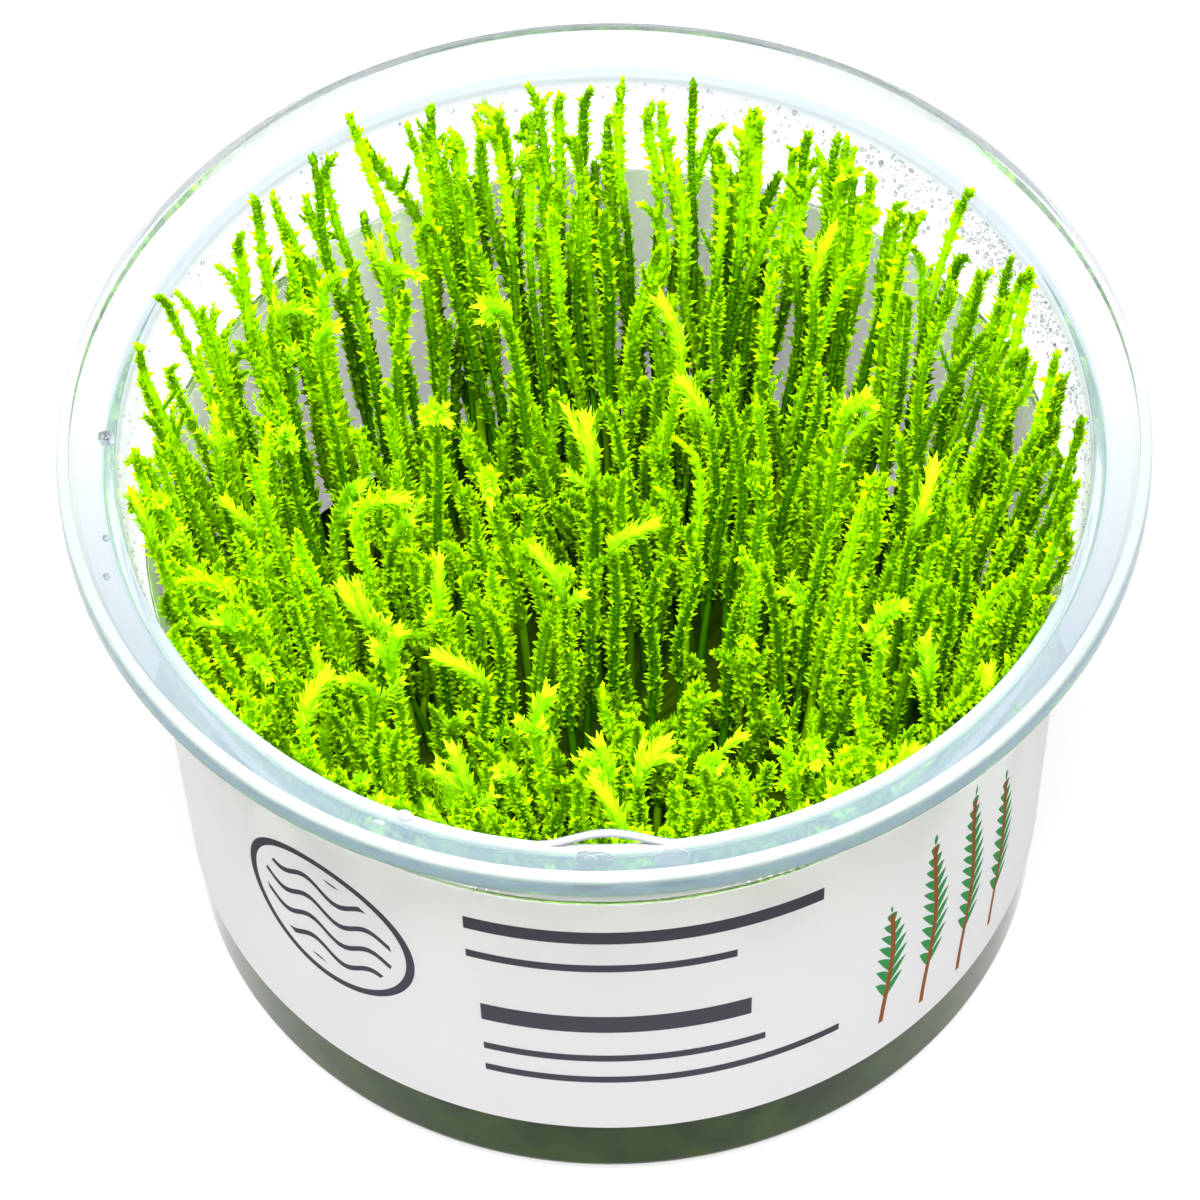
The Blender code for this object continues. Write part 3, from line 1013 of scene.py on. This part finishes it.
def tuft_piece(number, shoots, settings, chance):
    """One tuft: its shoots with their stems, leaflets and side shoots, as one mesh."""
    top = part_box(f"moss_tuft_{number:02d}")[1].z - TIP_ROOM * 0.8
    bundle = Bundle("level", "clarity", "youth")
    line = kept_inside(shoot_lines(shoots, chance), top)
    shares = shoot_shares(SHOOT_RINGS)
    radii = stem_radii(shoots, shares, SHOOT_STYLE, settings)
    add_shoots(bundle, line, radii, shares, settings.leaves_each, SHOOT_STYLE, shoots, chance)
    twigs, traits = side_shoots(line, shoots, chance)
    twigs = kept_inside(twigs, top)
    shares = np.linspace(0, 1, TWIG_RINGS)
    radii = stem_radii(traits, shares, TWIG_STYLE, settings) * 0.6
    add_shoots(bundle, twigs, radii, shares, settings.twig_leaves, TWIG_STYLE, traits, chance)
    return bundle.piece(f"moss_shoots_{number:02d}")


class CupSettings(bpy.types.PropertyGroup):
    """Finish of the cup."""

    plastic_colour: bpy.props.FloatVectorProperty(
        name="Plastic Colour", description="Tint of the clear plastic",
        subtype="COLOR", size=3, min=0.0, max=1.0, default=(0.950, 0.972, 0.975),
    )
    plastic_ior: bpy.props.FloatProperty(
        name="Index of Refraction", description="How strongly the plastic bends light",
        default=1.25, min=1.0, max=2.0,
    )
    milk_colour: bpy.props.FloatVectorProperty(
        name="Milk Colour", description="Tint of the plastic's milky part",
        subtype="COLOR", size=3, min=0.0, max=1.0, default=(0.20, 0.27, 0.32),
    )
    pale_colour: bpy.props.FloatVectorProperty(
        name="Pale Colour", description="Tint of the whitest milky plastic",
        subtype="COLOR", size=3, min=0.0, max=1.0, default=(0.34, 0.355, 0.375),
    )
    mist_haze: bpy.props.FloatProperty(
        name="Mist Haze", description="Share of light that the misty wall under the lip scatters",
        subtype="FACTOR", default=0.12, min=0.0, max=1.0,
    )
    rim_haze: bpy.props.FloatProperty(
        name="Rim Haze", description="Share of light that the rim scatters in front",
        subtype="FACTOR", default=0.52, min=0.0, max=1.0,
    )
    lip_haze: bpy.props.FloatProperty(
        name="Lip Haze", description="Share more that the lip scatters",
        subtype="FACTOR", default=0.35, min=0.0, max=1.0,
    )
    edge_haze: bpy.props.FloatProperty(
        name="Edge Haze", description="Share more that the outer bead scatters",
        subtype="FACTOR", default=0.15, min=0.0, max=1.0,
    )
    turn_steps: bpy.props.IntProperty(
        name="Turn Steps", description="Flat sides of the turned pieces", default=256, min=32, max=512,
    )
    drop_count: bpy.props.IntProperty(
        name="Drops", description="Drops of condensed water on the wall under the lip", default=1400, min=0,
    )


class LabelSettings(bpy.types.PropertyGroup):
    """Finish of the label."""

    film_colour: bpy.props.FloatVectorProperty(
        name="Film Colour", description="Colour of the unprinted film",
        subtype="COLOR", size=3, min=0.0, max=1.0, default=(0.765, 0.745, 0.795),
    )
    ink_colour: bpy.props.FloatVectorProperty(
        name="Ink Colour", description="Colour of the rules and the ring",
        subtype="COLOR", size=3, min=0.0, max=1.0, default=(0.042, 0.042, 0.050),
    )
    frond_colour: bpy.props.FloatVectorProperty(
        name="Frond Colour", description="Colour of the printed fronds",
        subtype="COLOR", size=3, min=0.0, max=1.0, default=(0.03, 0.16, 0.05),
    )
    film_glow: bpy.props.FloatProperty(
        name="Glow", description="Share of light that the film lets through",
        subtype="FACTOR", default=0.50, min=0.0, max=1.0,
    )


class GelSettings(bpy.types.PropertyGroup):
    """Finish of the nutrient gel."""

    gel_colour: bpy.props.FloatVectorProperty(
        name="Gel Colour", description="Colour of the gel's dark parts",
        subtype="COLOR", size=3, min=0.0, max=1.0, default=(0.008, 0.023, 0.0),
    )
    gel_streak: bpy.props.FloatVectorProperty(
        name="Streak Colour", description="Colour of the gel's paler streaks",
        subtype="COLOR", size=3, min=0.0, max=1.0, default=(0.030, 0.062, 0.001),
    )


class MossSettings(bpy.types.PropertyGroup):
    """Sizes and colours of the moss."""

    seed: bpy.props.IntProperty(name="Seed", description="Start of the random draws", default=11, min=0)
    shoot_spacing: bpy.props.FloatProperty(
        name="Shoot Spacing", description="Usual distance between neighbouring shoots",
        subtype="DISTANCE", unit="LENGTH", default=0.00265, min=0.0015, max=0.0060,
    )
    crowding: bpy.props.FloatProperty(
        name="Edge Crowding", description="How much closer shoots stand next to the wall than in the middle",
        subtype="FACTOR", default=0.20, min=0.0, max=0.5,
    )
    clump_share: bpy.props.FloatProperty(
        name="Clump Share", description="Share of shoots that others crowd round",
        subtype="FACTOR", default=0.22, min=0.01, max=1.0,
    )
    clumping: bpy.props.FloatProperty(
        name="Clumping", description="How far shoots are drawn to the middle of their clump",
        subtype="FACTOR", default=0.36, min=0.0, max=1.0,
    )
    bed_radius: bpy.props.FloatProperty(
        name="Bed Radius", description="Radius of the round that the shoots' feet fill",
        subtype="DISTANCE", unit="LENGTH", default=0.0372, min=0.0100, max=0.0390,
    )
    height_range: bpy.props.FloatProperty(
        name="Height Range", description="How far the shortest shoots end below the crown",
        subtype="DISTANCE", unit="LENGTH", default=0.0260, min=0.0, max=0.0300,
    )
    tall_share: bpy.props.FloatProperty(
        name="Tall Share", description="Least share of shoots that end close under the crown",
        subtype="FACTOR", default=0.07, min=0.0, max=1.0,
    )
    lean: bpy.props.FloatProperty(
        name="Lean", description="How far tips usually stray sideways",
        subtype="DISTANCE", unit="LENGTH", default=0.0021, min=0.0, max=0.0060,
    )
    young_share: bpy.props.FloatProperty(
        name="Young Share", description="Share of shoots with a lime tip",
        subtype="FACTOR", default=0.10, min=0.0, max=1.0,
    )
    stem_radius: bpy.props.FloatProperty(
        name="Stem Radius", description="Radius of a stem at its foot",
        subtype="DISTANCE", unit="LENGTH", default=0.00046, min=0.0001, max=0.0010,
    )
    leaves_each: bpy.props.IntProperty(
        name="Leaflets Each", description="Leaflets on each shoot", default=320, min=20, max=1500,
    )
    twig_leaves: bpy.props.IntProperty(
        name="Twig Leaflets", description="Leaflets on each side shoot", default=26, min=5, max=100,
    )
    deep_colour: bpy.props.FloatVectorProperty(
        name="Deep Colour", description="Colour of shaded leaflets",
        subtype="COLOR", size=3, min=0.0, max=1.0, default=(0.034, 0.145, 0.0),
    )
    mid_colour: bpy.props.FloatVectorProperty(
        name="Middle Colour", description="Colour of most leaflets",
        subtype="COLOR", size=3, min=0.0, max=1.0, default=(0.345, 0.68, 0.0),
    )
    # Palest leaflet colour: reached on pale upper leaflets and where painted light and painted highlights
    # lift the level
    pale_and_highlight_colour: bpy.props.FloatVectorProperty(
        name="Bright Colour", description="Colour of the palest old leaflets",
        subtype="COLOR", size=3, min=0.0, max=1.0, default=(0.55, 0.90, 0.0),
    )
    young_colour: bpy.props.FloatVectorProperty(
        name="Young Colour", description="Colour of young leaflets",
        subtype="COLOR", size=3, min=0.0, max=1.0, default=(0.53, 0.94, 0.01),
    )
    glow_colour: bpy.props.FloatVectorProperty(
        name="Glow Colour", description="Colour of light through leaflets",
        subtype="COLOR", size=3, min=0.0, max=1.0, default=(0.50, 0.86, 0.0),
    )
    leaf_glow: bpy.props.FloatProperty(
        name="Leaf Glow", description="Share of light that passes through a leaflet",
        subtype="FACTOR", default=0.30, min=0.0, max=1.0,
    )


class StudioSettings(bpy.types.PropertyGroup):
    """Light of the studio."""

    sky_strength: bpy.props.FloatProperty(
        name="Surround Strength", description="Strength of the even light from all sides",
        default=1.0, min=0.0,
    )
    left_power: bpy.props.FloatProperty(
        name="Left Power", description="Power of the soft light on the left",
        subtype="POWER", unit="POWER", default=14.0, min=0.0,
    )
    right_power: bpy.props.FloatProperty(
        name="Right Power", description="Power of the soft light on the right",
        subtype="POWER", unit="POWER", default=11.0, min=0.0,
    )
    top_power: bpy.props.FloatProperty(
        name="Top Power", description="Power of the soft light over the cup",
        subtype="POWER", unit="POWER", default=28.0, min=0.0,
    )


class CultureCupSettings(bpy.types.PropertyGroup):
    """All that a user would change."""

    cup: bpy.props.PointerProperty(name="Cup", description="The cup's settings", type=CupSettings)
    label: bpy.props.PointerProperty(name="Label", description="The label's settings", type=LabelSettings)
    gel: bpy.props.PointerProperty(name="Gel", description="The gel's settings", type=GelSettings)
    moss: bpy.props.PointerProperty(name="Moss", description="The moss's settings", type=MossSettings)
    studio: bpy.props.PointerProperty(
        name="Studio", description="The studio's settings", type=StudioSettings,
    )


class DressCup(bpy.types.Operator):
    """Make the smooth clear cup"""

    bl_idname = "culture_cup.dress_cup"
    bl_label = "Clear Cup"

    def execute(self, context):
        settings = context.scene.culture_cup.cup
        cup = turned("clear_cup", cup_outline(), settings.turn_steps)
        finished(cup, plastic_finish(settings), "clear_plastic", "cup")
        return {"FINISHED"}


class AddDrops(bpy.types.Operator):
    """Scatter drops of condensed water on the wall under the lip"""

    bl_idname = "culture_cup.add_drops"
    bl_label = "Condensed Drops"

    def execute(self, context):
        settings = context.scene.culture_cup.cup
        chance = np.random.default_rng(DROP_SEED)
        ball, sides = unit_ball(1)
        count = settings.drop_count
        height = DROP_TOP - chance.beta(1.0, 1.6, count) * DROP_BAND
        angle = np.where(
            chance.random(count) < 0.55,
            chance.normal(math.radians(DROP_BEARING), math.radians(DROP_SPREAD), count),
            chance.uniform(0, math.tau, count),
        )
        size = np.exp(chance.normal(math.log(0.00011), 0.42, count))
        reach = inner_radius(height)
        centre = np.stack([reach * np.cos(angle), reach * np.sin(angle), height], axis=-1)
        large = np.array(LARGE_DROPS) * MM
        centre = np.concatenate([centre, large[:, :3]])
        size = np.concatenate([size, large[:, 3]])
        points = centre[:, None] + ball[None] * size[:, None, None]
        faces = sides[None] + (np.arange(len(centre)) * len(ball))[:, None, None]
        drops = mesh_piece("condensed_drops", points.reshape(-1, 3), faces.reshape(-1, 3), {})
        drops.data.shade_smooth()
        finished(drops, water_finish(), "clear_plastic")
        return {"FINISHED"}


# Small drops under the lip: a seed, the band that they fill, and the side where most of them are, as a
# bearing in degrees from +X towards +Y. Large drops on the rim: x, y, z and radius in millimetres
DROP_SEED = 5
DROP_TOP = 0.0585
DROP_BAND = 0.0075
DROP_BEARING = 32.0
DROP_SPREAD = 19.0
LARGE_DROPS = (
    (-45.6, 2.7, 58.9, 0.9),
    (-45.4, -9.0, 59.1, 0.4),
    (-45.3, -13.4, 59.1, 0.4),
)


def unit_ball(divisions):
    """Points and triangles of a ball with a radius of one."""
    shape = bmesh.new()
    bmesh.ops.create_icosphere(shape, subdivisions=divisions, radius=1.0)
    points = np.array([vertex.co for vertex in shape.verts])
    faces = np.array([[vertex.index for vertex in face.verts] for face in shape.faces])
    shape.free()
    return points, faces


# Flaws in the moulded rim: a sliver of the lip that stands up in an arch, between two bearings in
# degrees from the front, and lumps at a bearing, with a radius and height in millimetres, three half
# sizes (around, outwards, upwards) and how milky they are
ARCH_BEARINGS = (-8.6, 6.6)
ARCH_RISE = 0.0013
ARCH_THICKNESS = 0.00044
ARCH_RINGS = 32
RIM_LUMPS = (
    (-3.4, 46.7, 59.40, (1.1, 1.2, 0.35), 0.24),
    (-2.0, 46.4, 59.40, (1.4, 0.8, 0.35), 0.24),
    (5.9, 46.7, 59.40, (1.6, 1.1, 0.35), 0.34),
    (-24.3, 45.1, 59.35, (0.8, 0.6, 0.55), 0.95),
    (-26.5, 46.6, 59.35, (0.6, 0.3, 0.2), 0.70),
)


class AddRimFlaws(bpy.types.Operator):
    """Add the raised sliver and the lumps that the moulding left on the rim"""

    bl_idname = "culture_cup.add_rim_flaws"
    bl_label = "Rim Flaws"

    def execute(self, context):
        settings = context.scene.culture_cup.cup
        share = np.linspace(0, 1, ARCH_RINGS)
        start, end = ARCH_BEARINGS
        bearing = np.radians(start + (end - start) * share)
        bow = np.sin(math.pi * share) ** 1.5
        reach = LIP_RADIUS + 0.0004 - 0.0006 * bow
        height = LIP_HEIGHT - ARCH_THICKNESS / 2 + ARCH_RISE * bow
        line = np.stack([reach * np.sin(bearing), -reach * np.cos(bearing), height], axis=-1)[None]
        radii = np.full((1, ARCH_RINGS), ARCH_THICKNESS)
        flaws = Bundle("milk", "pale")
        flaws.add(*tube_mesh(line, radii), milk=0.95, pale=1.0)
        ball, sides = unit_ball(3)
        for degrees, radius, height, sizes, milk in RIM_LUMPS:
            turn = math.radians(degrees)
            around, outward, upward = (ball * np.array(sizes)).T * MM
            outward = outward + radius * MM
            points = np.stack([
                outward * math.sin(turn) + around * math.cos(turn),
                around * math.sin(turn) - outward * math.cos(turn),
                upward + height * MM,
            ], axis=-1)
            flaws.add(points, sides, milk=milk, pale=milk)
        piece = flaws.piece("rim_flaws")
        piece.data.shade_smooth()
        finished(piece, flaw_finish(settings), "clear_plastic")
        return {"FINISHED"}


class DressLabel(bpy.types.Operator):
    """Make the label film with its plain print"""

    bl_idname = "culture_cup.dress_label"
    bl_label = "Label"

    def execute(self, context):
        settings = context.scene.culture_cup
        bottom = LABEL_BOX[0].z
        top = LABEL_BOX[1].z
        inner_bottom = wall_radius(bottom) - CONTACT
        inner_top = wall_radius(top) - CONTACT
        outline = [
            (inner_top, top),
            (inner_top + LABEL_THICKNESS, top),
            (inner_bottom + LABEL_THICKNESS, bottom),
            (inner_bottom, bottom),
        ]
        label = turned("label_film", outline, settings.cup.turn_steps)
        finished(label, label_finish(settings.label), "label", "label")
        return {"FINISHED"}


class DressGel(bpy.types.Operator):
    """Make the cloudy gel, drawn out to where the clear wall's bending of light shows it"""

    bl_idname = "culture_cup.dress_gel"
    bl_label = "Nutrient Gel"

    def execute(self, context):
        settings = context.scene.culture_cup
        edge = GEL_BOX[1].z
        level = edge - 0.0007
        outline = [(0.0, level)]
        outline += [(wall_radius(edge) - GEL_SKIN - 0.0018 * share, level + 0.0007 * (1 - share) ** 2)
                    for share in (1.0, 0.8, 0.6, 0.4, 0.2, 0.0)]
        outline += arc(wall_radius(BASE_CORNER) - BASE_CORNER, BASE_CORNER, BASE_CORNER - GEL_SKIN, 0, -90)
        outline += [(0.0, GEL_SKIN)]
        gel = turned("nutrient_gel", outline, settings.cup.turn_steps)
        finished(gel, gel_finish(settings.gel), "gel", "gel")
        return {"FINISHED"}


class GrowMoss(bpy.types.Operator):
    """Grow the leafy shoots of every tuft"""

    bl_idname = "culture_cup.grow_moss"
    bl_label = "Moss Shoots"

    def execute(self, context):
        settings = context.scene.culture_cup.moss
        chance = np.random.default_rng(settings.seed)
        shoots = sown(settings, chance)
        finish = moss_finish(settings)
        for index in range(sum(RING_COUNTS)):
            own = {key: values[shoots["tuft"] == index] for key, values in shoots.items()}
            tuft = tuft_piece(index + 1, own, settings, chance)
            finished(tuft, finish, "moss", f"moss_tuft_{index + 1:02d}")
        return {"FINISHED"}


class SetUpStudio(bpy.types.Operator):
    """Set up the floor, the soft lights and the camera"""

    bl_idname = "culture_cup.set_up_studio"
    bl_label = "Studio"

    def execute(self, context):
        settings = context.scene.culture_cup.studio
        add_floor(context.scene)
        add_surround(context.scene, settings.sky_strength)
        add_softbox(context.scene, "left_light", (-0.55, 0.15, 0.85), 0.6, settings.left_power)
        add_softbox(context.scene, "right_light", (0.55, 0.10, 0.85), 0.6, settings.right_power)
        add_softbox(context.scene, "top_light", (0.0, -0.35, 0.95), 0.35, settings.top_power)
        add_camera(context.scene)
        context.scene.view_settings.view_transform = "Standard"
        return {"FINISHED"}


def add_floor(scene):
    """A wide plain floor at the height of the cup's underside."""
    shape = bmesh.new()
    bmesh.ops.create_grid(shape, x_segments=1, y_segments=1, size=3.0)
    mesh = bpy.data.meshes.new("studio_floor")
    shape.to_mesh(mesh)
    shape.free()
    mesh.materials.append(floor_finish())
    floor = bpy.data.objects.new("studio_floor", mesh)
    floor.location.z = CAD_BOX[0].z - 0.0001
    scene.collection.objects.link(floor)


def add_surround(scene, strength):
    """Even white light from all sides."""
    world = bpy.data.worlds.new("studio_surround")
    world.use_nodes = True
    shade = world.node_tree.nodes["Background"]
    shade.inputs["Color"].default_value = (1.0, 1.0, 1.0, 1.0)
    shade.inputs["Strength"].default_value = strength
    scene.world = world


def add_softbox(scene, name, place, size, power):
    """A square soft light aimed at the cup."""
    light = bpy.data.lights.new(name, "AREA")
    light.shape = "SQUARE"
    light.size = size
    light.energy = power
    lamp = bpy.data.objects.new(name, light)
    lamp.location = place
    lamp.rotation_mode = "QUATERNION"
    lamp.rotation_quaternion = (CAMERA_TARGET - Vector(place)).to_track_quat("-Z", "Y")
    scene.collection.objects.link(lamp)


def add_camera(scene):
    """The camera at the photograph's viewing angle."""
    lens = bpy.data.cameras.new("photo_camera")
    lens.sensor_width = 36.0
    lens.lens = CAMERA_LENS
    lens.clip_start = 0.05
    lens.clip_end = 10.0
    elevation = math.radians(CAMERA_ELEVATION)
    roll = math.radians(CAMERA_ROLL)
    ahead = Vector((0.0, math.cos(elevation), -math.sin(elevation)))
    right = Vector((1.0, 0.0, 0.0))
    up = Vector((0.0, math.sin(elevation), math.cos(elevation)))
    rolled_right = right * math.cos(roll) + up * math.sin(roll)
    rolled_up = up * math.cos(roll) - right * math.sin(roll)
    centre = CAMERA_TARGET - ahead * CAMERA_DISTANCE
    centre += rolled_right * CAMERA_ASIDE[0] + rolled_up * CAMERA_ASIDE[1]
    camera = bpy.data.objects.new("photo_camera", lens)
    camera.matrix_world = Matrix((
        (rolled_right.x, rolled_up.x, -ahead.x, centre.x),
        (rolled_right.y, rolled_up.y, -ahead.y, centre.y),
        (rolled_right.z, rolled_up.z, -ahead.z, centre.z),
        (0.0, 0.0, 0.0, 1.0),
    ))
    scene.collection.objects.link(camera)
    scene.camera = camera


class CultureCupPanel(bpy.types.Panel):
    """Settings and steps of the culture cup"""

    bl_idname = "VIEW3D_PT_culture_cup"
    bl_label = "Moss Culture Cup"
    bl_space_type = "VIEW_3D"
    bl_region_type = "UI"
    bl_category = "Moss Cup"

    def draw(self, context):
        layout = self.layout
        settings = context.scene.culture_cup
        for group, operators in PANEL_ROWS:
            box = layout.box()
            for name in getattr(settings, group).bl_rna.properties.keys():
                if name not in {"rna_type", "name"}:
                    box.prop(getattr(settings, group), name)
            for operator in operators:
                box.operator(operator)


PANEL_ROWS = (
    ("cup", ("culture_cup.dress_cup", "culture_cup.add_rim_flaws", "culture_cup.add_drops")),
    ("label", ("culture_cup.dress_label",)),
    ("gel", ("culture_cup.dress_gel",)),
    ("moss", ("culture_cup.grow_moss",)),
    ("studio", ("culture_cup.set_up_studio",)),
)

CLASSES = (
    CupSettings,
    LabelSettings,
    GelSettings,
    MossSettings,
    StudioSettings,
    CultureCupSettings,
    DressCup,
    AddRimFlaws,
    AddDrops,
    DressLabel,
    DressGel,
    GrowMoss,
    SetUpStudio,
    CultureCupPanel,
)


def register():
    """Register the classes and give each scene its settings."""
    for item in CLASSES:
        bpy.utils.register_class(item)
    bpy.types.Scene.culture_cup = bpy.props.PointerProperty(
        name="Culture Cup", description="Settings of the culture cup", type=CultureCupSettings,
    )


def unregister():
    """Take the settings and the classes away again."""
    del bpy.types.Scene.culture_cup
    for item in reversed(CLASSES):
        bpy.utils.unregister_class(item)


def main():
    """Dress the part step by step."""
    register()
    bpy.ops.culture_cup.dress_cup()
    bpy.ops.culture_cup.add_rim_flaws()
    bpy.ops.culture_cup.add_drops()
    bpy.ops.culture_cup.dress_label()
    bpy.ops.culture_cup.dress_gel()
    bpy.ops.culture_cup.grow_moss()
    bpy.ops.culture_cup.set_up_studio()


if __name__ == "__main__":
    main()
